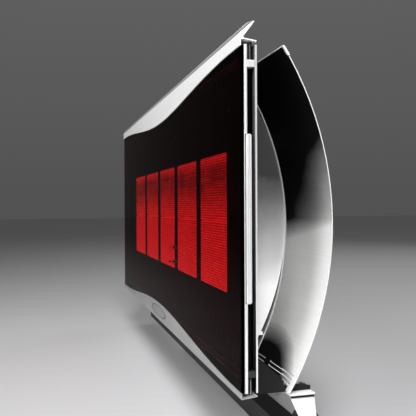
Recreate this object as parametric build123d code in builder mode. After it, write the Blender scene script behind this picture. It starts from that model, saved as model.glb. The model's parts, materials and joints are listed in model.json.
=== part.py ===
"""A wall-mounted gas radiant patio heater, in millimetres, in its own frame.

The origin is the centre of the wall plate's four holes, on the wall. X runs along the heater, Y points
into the wall and Z is up. Distances back from the glass face are called depths, and heights inside the
heater's head are counted from the middle of its panel.
"""

import os
from math import cos, pi, sqrt

from build123d import *

os.makedirs("parts", exist_ok=True)

# Panel
panel_width = 1004.0
panel_height = 410.0
panel_depth = 20.0
wall_to_glass = 173.0
panel_rise = 10.0
glass_thick = 4.0
glass_corner_r = 3.0
glass_bevel = 0.6
glass_inset = 2.0
glass_reach = 6.0
gasket_thick = 1.0
gasket_width = 12.0
frame_sheet = 1.5

# Side rails
rail_flange = 3.0
rail_web = 3.0
rail_width = 14.0
rail_edge_r = 0.8
notch_half = 97.0
bar_thick = 6.5
bar_gap = 1.5
bar_proud = 1.0
bar_bevel = 0.7
bridge_size = 9.0
bridge_high = 7.0
bridge_inset = 28.0
bridge_dome = 2.0
screw_r = 2.0
screw_head_r = 3.5
screw_head_high = 2.0
spot_face = 0.5

# Waved trims
trim_sheet = 1.2
trim_flange = 1.5
trim_end_drop = 14.0
wave_depth = 25.5
wave_margin = 22.0
lower_band = 7.0
lower_wave = 25.5
trim_rise = 6.0
wing_reach = 16.0
wing_rise = 14.5
wing_root = 2.5
wing_swell = 3.6
flange_drop = 2.0
trim_gap = 5.0
trim_bend = 1.0
wing_edge = 0.6

# Burners
burner_count = 5
burner_margin = 99.5
burner_height = -7.0
tile_space = 29.0
tile_margin = 112.5
tile_thick = 13.0
tile_joint = 1.0
tile_bevel = 0.8
tile_depth = 18.0
window_gap = 1.0
box_wall = 1.0
box_margin = 5.0
box_side_gap = 7.0
box_back_gap = 9.0
box_flat_half = 45.0
tile_seat = 10.0

# Gas train
venturi_r = 13.0
venturi_wall = 1.2
mouth_r = 17.0
mouth_high = 16.0
venturi_stub = 1.0
mouth_gap = 2.0
venturi_entry = -14.0
venturi_gap = 0.6
manifold_r = 8.0
manifold_wall = 1.5
manifold_gap = 3.5
manifold_clear = 5.5
manifold_over = 23.0
boss_r = 7.0
boss_high = 9.0
injector_hex = 5.5
injector_high = 7.0
nozzle_r = 2.5
nozzle_high = 4.0
orifice_r = 0.7
pipe_r = 5.0
pipe_wall = 1.0
pipe_bend = 14.0
valve_inset = 70.0
valve_width = 40.0
valve_back = 96.0
valve_low = -75.0
valve_high = 80.0
valve_edge_r = 3.0
port_depth = 76.0
port_r = 9.0
port_high = 6.0
outlet_height = -60.0
coil_r = 12.0
coil_long = 30.0
coil_heights = (-32.0, -6.0)
coil_cap = 2.0
plunger_r = 4.5
plunger_gap = 0.4
plunger_long = 24.0
plunger_travel = 3.0
plunger_bevel = 0.5
service_inset = 78.0
service_width = 80.0
service_rise = 18.0
inlet_thread_r = 10.48
inlet_thread_long = 16.0
inlet_nut_r = 15.0
inlet_nut_high = 3.5
collar_r = 12.0
collar_high = 7.0
gland_step = 31.0
gland_r = 8.0
gland_bore_r = 3.5
gland_high = 13.0
gland_wall = 1.5
gland_taper = 8.0
pipe_rise = 28.0
feed_gap = 31.0
manifold_arm_width = 20.0
manifold_arm_foot = 22.0
manifold_arm_sheet = 2.0
manifold_arm_reach = 4.0
case_width = 150.0
case_low = 18.0
case_high = 74.0
case_depth = 90.0
case_wall = 1.8
cover_thick = 2.0
cover_corner_r = 2.0
cover_bevel = 0.6
igniter_heights = (-60.0, -86.0)
insulator_r = 3.5
insulator_front = 13.0
insulator_long = 27.0
electrode_r = 0.9
electrode_reach = 19.0
electrode_front = 5.0
electrode_bend = 3.0

# Rear shells
housing_crown = 57.0
housing_rise = 41.0
housing_centre = -9.0
housing_sheet = 1.0
housing_foot = 12.0
housing_inset = 6.0
cap_slim = 14.0
cap_shift = 7.8
cap_sheet = 1.5
cap_recess = 3.0
cap_tab_rise = 20.5
cap_tab_size = 7.0
cap_tab_high = 4.0
cap_tab_gap = 1.0
shell_crown = 114.7
shell_edge = 59.5
shell_centre = -6.5
shell_sheet = 1.2
shell_top_gap = 4.5
shell_low_gap = 2.0
shell_inset = 2.0
louvre_high = 1.8
louvre_pitch = 4.5
louvre_end = 9.0
louvre_space = 16.0
louvre_rise = 12.0
louvre_rows = 3
louvre_count = 11
post_r = 5.0
post_heights = (-105.0, 95.0)
strap_inset = 122.0
strap_width = 24.0
strap_drop = 8.5
strap_foot = 12.0

# Tilt and wall mounting
pivot_depth = 86.0
pivot_drop = 37.0
bolt_r = 5.0
running_gap = 0.05
lug_thick = 2.0
lug_lip = 3.0
lug_front = 60.0
lug_back = 91.0
lug_flange = 30.0
lug_end_r = 9.0
ear_thick = 4.0
ear_gap = 0.5
bracket_sheet = 3.0
bracket_inset = 13.0
bracket_foot = 17.0
notch_gap = 1.5
bracket_rise = 38.0
bracket_top_depth = 30.0
bracket_knee = 13.0
tongue_margin = 3.0
tongue_high = 5.0
bolt_head_r = 9.0
bolt_head_high = 6.0
knob_gap = 0.3
knob_r = 15.0
knob_high = 14.0
knob_lobes = 6
knob_scallop_r = 5.0
lug_screw_r = 3.0
lug_screw_hex = 5.0
lug_screw_high = 4.0
lug_screw_inset = 12.0
lug_screw_span = 16.0
beam_deep = 30.0
beam_drop = 20.0
beam_high = 28.0
beam_wall = 2.0
plate_width = 400.0
plate_height = 170.0
plate_thick = 5.0
plate_corner_r = 8.0
arm_thick = 6.0
arm_place = 120.0
arm_rise = 110.0
mount_span_x = 320.0
mount_span_z = 120.0
mount_hole_r = 4.5

# Places worked out from the sizes above
glass_y = -wall_to_glass
panel_half = panel_width / 2
foot = -panel_height / 2
panel_lift = panel_rise - foot
glass_half = panel_half - glass_inset
glass_high = panel_height / 2 - glass_reach
rail_front = glass_thick + gasket_thick
frame_back = panel_depth
frame_front = panel_depth - frame_sheet
web_inner = glass_half + glass_inset - rail_width
web_outer = web_inner + rail_web
ends = (("right", 1), ("left", -1))
bridge_depth = rail_front + rail_flange + bridge_size / 2
bridge_place = web_outer + bridge_size / 2
bridge_height = panel_height / 2 - bridge_inset
bridge_tip = bridge_height + bridge_high / 2
rail_hollow = panel_depth - rail_front - 2 * rail_flange
burner_pitch = (panel_width - 2 * burner_margin) / burner_count
tile_width = burner_pitch - tile_space
tile_height = (panel_height - tile_joint) / 2 - tile_margin
igniter_place = burner_pitch / 2
manifold_end = burner_pitch * (burner_count - 1) / 2 + manifold_over
shell_top = panel_height / 2 - shell_top_gap
shell_bottom = foot + shell_low_gap
bracket_place = glass_half - bracket_inset


def back(depth):
    """The Y of a distance back from the glass face."""
    return glass_y + depth


def up(height):
    """The Z of a height above the middle of the panel."""
    return panel_lift + height


def finish(item, label):
    """Labels a finished piece and writes it as its own file."""
    item.part.label = label
    export_step(item.part, f"parts/{label}.step")


def arc_depth(crown, radius, centre, height):
    """How far back a bowed sheet lies at one height."""
    return crown - radius + sqrt(radius**2 - (height - centre) ** 2)


def bow_radius(half, rise):
    """The radius of an arc from half its chord and its rise."""
    return (half**2 + rise**2) / (2 * rise)


def section(points):
    """A closed outline of depths and heights, as points of the YZ plane."""
    return [(back(depth), up(height)) for depth, height in points]


def trim_wave(x, swell, length):
    """How far a trim's edge swells towards the middle of the panel."""
    if abs(x) >= length / 2:
        return 0.0
    return swell * (1 + cos(2 * pi * x / length)) / 2


def ring(radius, thick):
    """A thin round hoop in the open sketch, for a bowed sheet."""
    Circle(radius)
    Circle(radius - thick, mode=Mode.SUBTRACT)


def folded_plate(outline, middle, width):
    """A constant section across the heater, added to the open part."""
    with BuildSketch(Plane.YZ.offset(middle - width / 2)) as profile:
        with BuildLine():
            Polyline(*section(outline), close=True)
        make_face()
    extrude(profile.sketch, amount=width, dir=(1, 0, 0))


def venturi_route(x):
    """The middle line of a venturi tube: up behind the housing, then forward into its burner box."""
    return [
        (x, back(venturi_depth), up(venturi_low + mouth_high)),
        (x, back(venturi_depth), up(venturi_entry)),
        (x, back(box_depth - box_wall), up(venturi_entry)),
    ]


burner_places = [burner_pitch * (n - (burner_count - 1) / 2) for n in range(burner_count)]
window_width = tile_width + 2 * window_gap
window_height = 2 * tile_height + tile_joint + 2 * window_gap
box_width = tile_width + 2 * box_margin
box_height = 2 * tile_height + tile_joint + 2 * box_margin

# The two bowed sheets: their axes, and the space outside the inner one and inside the outer one.
# The manifold lies just below the inner one's foot and just inside the outer one.
housing_low = foot + housing_rise
housing_half = housing_centre - housing_low - housing_foot + housing_sheet
housing_radius = bow_radius(housing_half, housing_crown - frame_back)
housing_axis = (back(housing_crown - housing_radius), up(housing_centre))
housing_width = panel_width - 2 * housing_inset
foot_offset = housing_half + housing_foot / 2 - housing_sheet
shell_radius = bow_radius(shell_bottom - shell_centre, shell_crown - shell_edge)
box_depth = housing_crown - housing_sheet - box_back_gap
box_side_reach = arc_depth(housing_crown, housing_radius, housing_centre, burner_height - box_height / 2)
box_side_depth = box_side_reach - housing_sheet - box_side_gap
manifold_height = housing_low - manifold_clear + manifold_r
manifold_reach = arc_depth(shell_crown, shell_radius, shell_centre, manifold_height) - shell_sheet
venturi_depth = manifold_reach - manifold_gap - manifold_r
venturi_bend = venturi_depth - box_depth + box_wall - venturi_stub
venturi_low = manifold_height + boss_high + injector_high + nozzle_high + mouth_gap
shell_axis = (back(shell_crown - shell_radius), up(shell_centre))
shell_width = panel_width - 2 * shell_inset
across = Rot(0, 90, 0)
housing_outer = Pos(0, *housing_axis) * across * Cylinder(housing_radius + running_gap, panel_width)
shell_inner = Pos(0, *shell_axis) * across * Cylinder(shell_radius - shell_sheet - running_gap, panel_width)
housing_screw_places = [burner_pitch * (n - burner_count / 2) for n in range(burner_count + 1)]
housing_screw_spots = [
    (x, up(housing_centre + level * foot_offset)) for x in housing_screw_places for level in (-1, 1)
]

# Glass panel, with a gasket behind its edge
with BuildPart() as glass_panel:
    with BuildSketch(Plane.XZ.offset(-back(0))):
        with Locations((0, up(0))):
            RectangleRounded(2 * glass_half, 2 * glass_high, glass_corner_r)
    extrude(amount=-glass_thick)
    chamfer(glass_panel.faces().sort_by(Axis.Y)[0].edges(), glass_bevel)
finish(glass_panel, "glass_panel")

with BuildPart() as glass_gasket:
    with BuildSketch(Plane.XZ.offset(-back(glass_thick))):
        with Locations((0, up(0))):
            Rectangle(2 * glass_half, 2 * glass_high)
            opening = (2 * (glass_half - gasket_width), 2 * (glass_high - gasket_width))
            Rectangle(*opening, mode=Mode.SUBTRACT)
    extrude(amount=-gasket_thick)
finish(glass_gasket, "glass_gasket")

# Side rails: channels open to the ends, with the front flange left out at mid height
for end, way in ends:
    with BuildPart() as side_rail:
        with BuildSketch(Plane.XY.offset(up(-glass_high))):
            rail_middle = way * (web_inner + (rail_width - glass_inset) / 2)
            with Locations((rail_middle, back((rail_front + frame_back) / 2))):
                Rectangle(rail_width - glass_inset, frame_back - rail_front)
            hollow_from = way * (web_outer + (glass_half - web_outer) / 2)
            with Locations((hollow_from, back((rail_front + frame_back) / 2))):
                Rectangle(glass_half - web_outer, rail_hollow, mode=Mode.SUBTRACT)
        extrude(amount=2 * glass_high)
        with BuildSketch(Plane.XY.offset(up(-notch_half))):
            with Locations((hollow_from, back(rail_front + rail_flange / 2))):
                Rectangle(glass_half - web_outer, rail_flange)
        extrude(amount=2 * notch_half, mode=Mode.SUBTRACT)
        rounded = side_rail.edges().filter_by(Axis.Z).sort_by(Axis.X)
        fillet(rounded.group_by(Axis.X)[-1 if way > 0 else 0], rail_edge_r)
    finish(side_rail, f"side_rail_{end}")

# Edge bars over the notches
with BuildPart() as edge_bars:
    for end, way in ends:
        with BuildSketch(Plane.YZ.offset(way * web_outer)):
            with Locations((back(rail_front + bar_gap + bar_thick / 2), up(0))):
                RectangleRounded(bar_thick, 2 * notch_half, bar_thick / 3)
        extrude(amount=way * (glass_half + bar_proud - web_outer))
    bar_faces = edge_bars.faces().sort_by(Axis.X)
    chamfer(bar_faces[0].edges() + bar_faces[-1].edges(), bar_bevel)
finish(edge_bars, "edge_bars")

# Domed bridges that tie each rail's two flanges together, with the corner screws' threads
with BuildPart() as rail_bridges:
    for end, way in ends:
        for level in (-1, 1):
            with BuildSketch(Plane.XZ.offset(-back(rail_front + rail_flange))):
                with Locations((way * bridge_place, up(level * bridge_height))):
                    Rectangle(bridge_size, bridge_high)
                with Locations((way * bridge_place, up(level * bridge_tip))):
                    Ellipse(bridge_size / 2, bridge_dome)
            extrude(amount=-rail_hollow)
            with BuildSketch(Plane.XY.offset(up(level * bridge_height))):
                with Locations((way * bridge_place, back(bridge_depth))):
                    Circle(screw_r + running_gap)
            extrude(amount=level * bridge_high, mode=Mode.SUBTRACT)
finish(rail_bridges, "rail_bridges")

# Burner frame: the black plate that the tiles look through
with BuildPart() as burner_frame:
    with BuildSketch(Plane.XZ.offset(-back(frame_front))):
        with Locations((0, up(0))):
            Rectangle(2 * web_inner, 2 * glass_high)
        with Locations([(x, up(burner_height)) for x in burner_places]):
            Rectangle(window_width, window_height, mode=Mode.SUBTRACT)
        with Locations([(igniter_place, up(z)) for z in igniter_heights]):
            Circle(insulator_r + running_gap, mode=Mode.SUBTRACT)
        with Locations(housing_screw_spots):
            Circle(screw_r + running_gap, mode=Mode.SUBTRACT)
    extrude(amount=-frame_sheet)
finish(burner_frame, "burner_frame")

# Top and bottom rails: folded channels between the gasket and the burner frame
for edge, level in (("top", 1), ("bottom", -1)):
    with BuildPart() as cross_rail:
        outer = level * glass_high
        inner = level * (glass_high - gasket_width)
        lip = level * (glass_high - frame_sheet)
        outline = [
            (rail_front, inner),
            (rail_front, outer),
            (frame_front, outer),
            (frame_front, inner),
            (frame_front - frame_sheet, inner),
            (frame_front - frame_sheet, lip),
            (rail_front + frame_sheet, lip),
            (rail_front + frame_sheet, inner),
        ]
        with BuildSketch(Plane.YZ.offset(-web_inner)):
            with BuildLine():
                Polyline(*section(outline), close=True)
            make_face()
        extrude(amount=2 * web_inner)
    finish(cross_rail, f"{edge}_rail")

# Top trim: an apron with a waved lower edge, a rounded wing that leans back and a flange over the glass
crease = panel_height / 2 + trim_rise
apron_end = crease - trim_end_drop
flange_top = glass_high + trim_gap + trim_flange
wing_tip = crease + wing_rise
wing_run = wing_reach - trim_bend + trim_sheet
wing_long = sqrt(wing_run**2 + wing_rise**2)
apron_low = apron_end - wave_depth
flange_slope = flange_drop * (bridge_depth - rail_front) / (frame_front - rail_front)
top_seat = flange_top - flange_slope - spot_face
wave_length = panel_width - 2 * wave_margin
wave_steps = 16
wave_x = [wave_length * (n / wave_steps - 0.5) for n in range(wave_steps + 1)]


def wave_cut(level, swell):
    """Cuts a trim's plain edge back to its wave; the plain edge lies one swell beyond its ends."""
    beyond = level + swell + (trim_bend if swell > 0 else -trim_bend)
    wave = [(x, up(level + trim_wave(x, swell, wave_length))) for x in wave_x]
    with BuildSketch(Plane.XZ.offset(-back(-trim_sheet))) as waste:
        with BuildLine():
            Spline(*wave, tangents=[(1, 0), (1, 0)])
            Polyline(
                wave[-1],
                (panel_half, up(level)),
                (panel_half, up(beyond)),
                (-panel_half, up(beyond)),
                (-panel_half, up(level)),
                wave[0],
            )
        make_face()
    extrude(waste.sketch, amount=trim_sheet, dir=(0, 1, 0), mode=Mode.SUBTRACT)


def screw_holes(seat, level):
    """Cuts the holes and spot faces of a trim's two corner screws."""
    spots = [(way * bridge_place, back(bridge_depth)) for end, way in ends]
    with BuildSketch(Plane.XY.offset(up(seat))) as spot_faces:
        with Locations(spots):
            Circle(screw_head_r + running_gap)
    extrude(spot_faces.sketch, amount=screw_head_high, dir=(0, 0, level), mode=Mode.SUBTRACT)
    with BuildSketch(Plane.XY.offset(up(seat))) as holes:
        with Locations(spots):
            Circle(screw_r + running_gap)
    extrude(holes.sketch, amount=2 * trim_flange, dir=(0, 0, -level), mode=Mode.SUBTRACT)


with BuildPart() as top_trim:
    outline = [
        (-trim_sheet, apron_low),
        (-trim_sheet, crease),
        (wing_reach - trim_bend, wing_tip),
        (wing_reach, wing_tip - wing_edge),
        (wing_root, flange_top + trim_flange),
        (wing_root + trim_bend, flange_top),
        (frame_front, flange_top - flange_drop),
        (frame_front, flange_top - flange_drop - trim_flange),
        (rail_front, flange_top - trim_flange),
        (0, flange_top - trim_flange),
        (0, apron_low),
    ]
    folded_plate(outline, 0, panel_width)
    wing_foot = (-trim_sheet, crease)
    wing_top = (wing_reach - trim_bend, wing_tip)
    wing_crown = (
        (wing_foot[0] + wing_top[0]) / 2 - wing_swell * wing_rise / wing_long,
        (crease + wing_tip) / 2 + wing_swell * wing_run / wing_long,
    )
    with BuildSketch(Plane.YZ.offset(-panel_half)) as wing_front:
        with BuildLine():
            ThreePointArc(*section([wing_foot, wing_crown, wing_top]))
            Line(*section([wing_top, wing_foot]))
        make_face()
    extrude(wing_front.sketch, amount=panel_width, dir=(1, 0, 0))
    wave_cut(apron_end, -wave_depth)
    screw_holes(top_seat, 1)
finish(top_trim, "top_trim")

# Bottom trim: the same wave upside down, with a flange under the glass edge
band_top = foot + lower_band
bottom_seat = foot + flange_drop * bridge_depth / frame_front + spot_face
with BuildPart() as bottom_trim:
    outline = [
        (-trim_sheet, band_top + lower_wave),
        (-trim_sheet, foot + trim_bend / 2),
        (-trim_sheet / 2, foot),
        (frame_front, foot + flange_drop),
        (frame_front, foot + flange_drop + trim_flange),
        (trim_bend, foot + trim_flange),
        (0, foot + trim_flange + trim_bend),
        (0, band_top + lower_wave),
    ]
    folded_plate(outline, 0, panel_width)
    wave_cut(band_top, lower_wave)
    screw_holes(bottom_seat, -1)
finish(bottom_trim, "bottom_trim")

# Corner screws: they hold each trim's flange down on the bridges
with BuildPart() as corner_screws:
    for end, way in ends:
        for seat, level in ((top_seat, 1), (bottom_seat, -1)):
            spot = (way * bridge_place, back(bridge_depth))
            with BuildSketch(Plane.XY.offset(up(seat))):
                with Locations(spot):
                    Circle(screw_r)
            extrude(amount=bridge_tip * level - seat)
            with BuildSketch(Plane.XY.offset(up(seat))):
                with Locations(spot):
                    Circle(screw_head_r)
            extrude(amount=level * screw_head_high)
finish(corner_screws, "corner_screws")

# Burners: two ceramic tiles each, in a gasket, in a pressed box that deepens towards its middle
for number, x in enumerate(burner_places, 1):
    with BuildPart() as burner_tiles:
        with BuildSketch(Plane.XZ.offset(-back(tile_depth))):
            with Locations((x, up(burner_height))):
                with GridLocations(1, tile_height + tile_joint, 1, 2):
                    Rectangle(tile_width, tile_height)
        extrude(amount=-tile_thick)
        chamfer(burner_tiles.faces().group_by(Axis.Y)[0].edges(), tile_bevel)
    finish(burner_tiles, f"burner_tiles_{number}")

with BuildPart() as tile_gaskets:
    with BuildSketch(Plane.XZ.offset(-back(frame_back))):
        with Locations([(x, up(burner_height)) for x in burner_places]):
            Rectangle(box_width - 2 * box_wall, box_height - 2 * box_wall)
            Rectangle(tile_width, 2 * tile_height + tile_joint, mode=Mode.SUBTRACT)
    extrude(amount=-tile_seat)
finish(tile_gaskets, "tile_gaskets")

for number, x in enumerate(burner_places, 1):
    half = box_height / 2
    box_outline = [
        (frame_back, burner_height - half),
        (box_side_depth, burner_height - half),
        (box_depth, burner_height - box_flat_half),
        (box_depth, burner_height + box_flat_half),
        (box_side_depth, burner_height + half),
        (frame_back, burner_height + half),
    ]
    box_hollow = [
        (frame_back, burner_height - half + box_wall),
        (box_side_depth - box_wall / 2, burner_height - half + box_wall),
        (box_depth - box_wall, burner_height - box_flat_half + box_wall / 2),
        (box_depth - box_wall, burner_height + box_flat_half - box_wall / 2),
        (box_side_depth - box_wall / 2, burner_height + half - box_wall),
        (frame_back, burner_height + half - box_wall),
    ]
    with BuildPart() as burner_box:
        folded_plate(box_outline, x, box_width)
        with BuildSketch(Plane.YZ.offset(x - box_width / 2 + box_wall)):
            with BuildLine():
                Polyline(*section(box_hollow), close=True)
            make_face()
        extrude(amount=box_width - 2 * box_wall, mode=Mode.SUBTRACT)
        with BuildSketch(Plane.XZ.offset(-back(box_depth - 2 * box_wall))):
            with Locations((x, up(venturi_entry))):
                Circle(venturi_r + running_gap)
        extrude(amount=-3 * box_wall, mode=Mode.SUBTRACT)
    finish(burner_box, f"burner_box_{number}")

# Venturi tubes: a bell mouth, a straight tube and a bend into the back of each burner box
tube_foot = venturi_low + mouth_high
with BuildPart() as venturis:
    for x in burner_places:
        with BuildLine():
            FilletPolyline(*venturi_route(x), radius=venturi_bend)
        with BuildSketch(Plane.XY.offset(up(tube_foot))):
            with Locations((x, back(venturi_depth))):
                ring(venturi_r, venturi_wall)
        sweep()
        with BuildSketch(Plane.XZ.offset(-back(venturi_depth))):
            with BuildLine():
                Polyline(
                    (x + venturi_r - venturi_wall, up(tube_foot)),
                    (x + venturi_r, up(tube_foot)),
                    (x + mouth_r, up(venturi_low)),
                    (x + mouth_r - venturi_wall, up(venturi_low)),
                    close=True,
                )
            make_face()
        revolve(axis=Axis((x, back(venturi_depth), 0), (0, 0, 1)))
finish(venturis, "venturis")

# Gas manifold with a boss and an injector under each venturi
boss_top = manifold_height + boss_high
with BuildPart() as manifold:
    with BuildSketch(Plane.YZ.offset(-manifold_end)):
        with Locations((back(venturi_depth), up(manifold_height))):
            Circle(manifold_r)
    extrude(amount=2 * manifold_end)
    with BuildSketch(Plane.XY.offset(up(manifold_height))):
        with Locations([(x, back(venturi_depth)) for x in burner_places]):
            Circle(boss_r)
    extrude(amount=boss_high)
    with BuildSketch(Plane.YZ.offset(-manifold_end + manifold_wall)):
        with Locations((back(venturi_depth), up(manifold_height))):
            Circle(manifold_r - manifold_wall)
    extrude(amount=2 * (manifold_end - manifold_wall), mode=Mode.SUBTRACT)
    with BuildSketch(Plane.YZ.offset(-manifold_end)):
        with Locations((back(venturi_depth), up(manifold_height))):
            Circle(pipe_r - pipe_wall)
    extrude(amount=manifold_wall, mode=Mode.SUBTRACT)
    with BuildSketch(Plane.XY.offset(up(manifold_height))):
        with Locations([(x, back(venturi_depth)) for x in burner_places]):
            Circle(nozzle_r + running_gap)
    extrude(amount=boss_high, mode=Mode.SUBTRACT)
finish(manifold, "manifold")

with BuildPart() as injectors:
    spots = [(x, back(venturi_depth)) for x in burner_places]
    with BuildSketch(Plane.XY.offset(up(boss_top))):
        with Locations(spots):
            RegularPolygon(injector_hex, 6)
    extrude(amount=injector_high)
    with BuildSketch(Plane.XY.offset(up(boss_top - nozzle_high))):
        with Locations(spots):
            Circle(nozzle_r)
    extrude(amount=injector_high + 2 * nozzle_high)
    with BuildSketch(Plane.XY.offset(up(boss_top - nozzle_high))):
        with Locations(spots):
            Circle(orifice_r)
    extrude(amount=injector_high + 2 * nozzle_high, mode=Mode.SUBTRACT)
finish(injectors, "injectors")

# Arms from the burner frame that the manifold lies on
arm_top = manifold_height - manifold_r
arm_low = arm_top - manifold_arm_sheet
arm_outline = [
    (frame_back, arm_top),
    (frame_back, arm_top - manifold_arm_foot),
    (frame_back + manifold_arm_sheet, arm_top - manifold_arm_foot),
    (frame_back + manifold_arm_sheet, arm_low),
    (venturi_depth + manifold_arm_reach, arm_low),
    (venturi_depth + manifold_arm_reach, arm_top),
]
with BuildPart() as manifold_arms:
    for x in (-1.5 * burner_pitch, 1.5 * burner_pitch):
        folded_plate(arm_outline, x, manifold_arm_width)
finish(manifold_arms, "manifold_arms")

# Inner housing: a bowed sheet behind the burners, with feet along its edges and holes for the venturis
with BuildPart() as housing_shell:
    with BuildSketch(Plane.YZ.offset(-housing_width / 2)):
        with Locations(housing_axis):
            ring(housing_radius, housing_sheet)
        with Locations((back(frame_back + housing_crown / 2), up(housing_centre))):
            Rectangle(housing_crown, 2 * housing_half, mode=Mode.INTERSECT)
        for level in (-1, 1):
            with Locations((back(frame_back + housing_sheet / 2), up(housing_centre + level * foot_offset))):
                Rectangle(housing_sheet, housing_foot)
    extrude(amount=housing_width)
    for x in burner_places:
        with BuildLine():
            FilletPolyline(*venturi_route(x), radius=venturi_bend)
        with BuildSketch(Plane.XY.offset(up(tube_foot))):
            with Locations((x, back(venturi_depth))):
                Circle(venturi_r + venturi_gap)
        sweep(mode=Mode.SUBTRACT)
    with BuildSketch(Plane.XZ.offset(-back(frame_back))):
        with Locations(housing_screw_spots):
            Circle(screw_r + running_gap)
    extrude(amount=-2 * housing_sheet, mode=Mode.SUBTRACT)
finish(housing_shell, "housing_shell")

# Screws that hold the housing's feet on the burner frame
with BuildPart() as housing_screws:
    with BuildSketch(Plane.XZ.offset(-back(frame_back + housing_sheet))):
        with Locations(housing_screw_spots):
            Circle(screw_r)
    extrude(amount=housing_sheet + 2 * frame_sheet)
    with BuildSketch(Plane.XZ.offset(-back(frame_back + housing_sheet))):
        with Locations(housing_screw_spots):
            Circle(screw_head_r)
    extrude(amount=-screw_head_high)
    chamfer(housing_screws.faces().group_by(Axis.Y)[-1].edges(), spot_face)
finish(housing_screws, "housing_screws")

# End caps of the housing: below the middle they leave a crescent that lets the burners' air in
cap_fit = housing_radius - housing_sheet - running_gap
cap_radius = housing_radius - cap_slim
cap_centre = housing_centre + cap_shift
cap_tab_height = housing_centre - housing_half + cap_tab_rise
tab_reach = arc_depth(housing_crown, housing_radius, housing_centre, cap_tab_height)
tab_middle = tab_reach - housing_sheet - cap_tab_gap - cap_tab_size / 2
for end, way in ends:
    with BuildPart() as end_cap:
        with BuildSketch(Plane.YZ.offset(way * (housing_width / 2 - cap_recess))):
            with Locations(housing_axis):
                Circle(cap_fit)
            with Locations((back(housing_crown - cap_radius), up(cap_centre))):
                Circle(cap_radius, mode=Mode.INTERSECT)
            with Locations((back(frame_back + housing_crown / 2), up(housing_centre))):
                Rectangle(housing_crown, 2 * housing_half, mode=Mode.INTERSECT)
            with Locations((back(tab_middle), up(cap_tab_height))):
                Rectangle(cap_tab_size, cap_tab_high)
        extrude(amount=-way * cap_sheet)
    finish(end_cap, f"end_cap_{end}")

# Outer shell: the larger bowed sheet, open at its ends, with louvre slots near its lower edge
louvre_step = (shell_width - 2 * louvre_end + louvre_space) / louvre_count
notch_width = bracket_foot + 2 * notch_gap
with BuildPart() as outer_shell:
    with BuildSketch(Plane.YZ.offset(-shell_width / 2)):
        with Locations(shell_axis):
            ring(shell_radius, shell_sheet)
        with Locations((back(frame_back + shell_crown / 2), up((shell_top + shell_bottom) / 2))):
            Rectangle(shell_crown, shell_top - shell_bottom, mode=Mode.INTERSECT)
    extrude(amount=shell_width)
    with BuildSketch(Plane.XZ.offset(-back(frame_back))):
        with Locations((0, up(shell_bottom + louvre_rise))):
            with GridLocations(louvre_step, louvre_pitch, louvre_count, louvre_rows):
                SlotOverall(louvre_step - louvre_space, louvre_high)
        notch_middle = bracket_place - bracket_foot / 2
        with Locations([(way * notch_middle, up(shell_bottom)) for end, way in ends]):
            Rectangle(notch_width, 2 * tongue_high)
    extrude(amount=-shell_crown, mode=Mode.SUBTRACT)
finish(outer_shell, "outer_shell")

# Posts between the two bowed sheets, shaped to both
feed_place = manifold_end + feed_gap
post_places = [way * x for way in (-1, 1) for x in (manifold_end + post_r, 1.5 * burner_pitch)]
with BuildPart() as shell_posts:
    with BuildSketch(Plane.XZ.offset(-back(frame_back))):
        with Locations([(x, up(z)) for x in post_places for z in post_heights]):
            Circle(post_r)
    extrude(amount=-shell_crown)
    add(housing_outer, mode=Mode.SUBTRACT)
    add(shell_inner, mode=Mode.INTERSECT)
finish(shell_posts, "shell_posts")

# Straps that carry the outer shell's top edge
strap_height = shell_top - strap_drop
strap_places = [way * (panel_half - strap_inset) for way in (-1, 0, 1)]
strap_outline = [
    (frame_back, strap_height + frame_sheet),
    (frame_back, strap_height - strap_foot),
    (frame_back + frame_sheet, strap_height - strap_foot),
    (frame_back + frame_sheet, strap_height),
    (shell_crown, strap_height),
    (shell_crown, strap_height + frame_sheet),
]
with BuildPart() as shell_straps:
    for x in strap_places:
        folded_plate(strap_outline, x, strap_width)
    add(shell_inner, mode=Mode.INTERSECT)
finish(shell_straps, "shell_straps")

# Gas valve: a body shaped to the housing, with two coils on its side
valve_place = valve_inset - panel_half
valve_face = valve_place + valve_width / 2
with BuildPart() as gas_valve:
    with BuildSketch(Plane.XY.offset(up(valve_low))):
        with Locations((valve_place, back((frame_back + valve_back) / 2))):
            Rectangle(valve_width, valve_back - frame_back)
    extrude(amount=valve_high)
    fillet(gas_valve.faces().sort_by(Axis.Y)[-1].edges(), valve_edge_r)
    add(housing_outer, mode=Mode.SUBTRACT)
    with BuildSketch(Plane.XY.offset(up(valve_low - port_high))):
        with Locations((valve_place, back(port_depth))):
            Circle(port_r)
    extrude(amount=port_high)
    with BuildSketch(Plane.YZ.offset(valve_face)):
        with Locations((back(port_depth), up(outlet_height))):
            Circle(port_r)
    extrude(amount=port_high)
    with BuildSketch(Plane.YZ.offset(valve_face - plunger_long / 2)):
        with Locations([(back(port_depth), up(z)) for z in coil_heights]):
            Circle(plunger_r + plunger_gap)
    extrude(amount=plunger_long / 2, mode=Mode.SUBTRACT)
finish(gas_valve, "gas_valve")

with BuildPart() as solenoid_coils:
    for z in coil_heights:
        with BuildSketch(Plane.YZ.offset(valve_face)):
            with Locations((back(port_depth), up(z))):
                Circle(coil_r)
        extrude(amount=coil_long)
        with BuildSketch(Plane.YZ.offset(valve_face)):
            with Locations((back(port_depth), up(z))):
                Circle(plunger_r + plunger_gap)
        extrude(amount=coil_long - coil_cap, mode=Mode.SUBTRACT)
finish(solenoid_coils, "solenoid_coils")

plunger_end = valve_face + coil_long - coil_cap - plunger_travel - 2 * plunger_gap
for number, z in enumerate(coil_heights, 1):
    with BuildPart() as plunger:
        with BuildSketch(Plane.YZ.offset(plunger_end)):
            with Locations((back(port_depth), up(z))):
                Circle(plunger_r)
        extrude(amount=-plunger_long)
        chamfer(plunger.edges(), plunger_bevel)
    finish(plunger, f"plunger_{number}")

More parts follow.
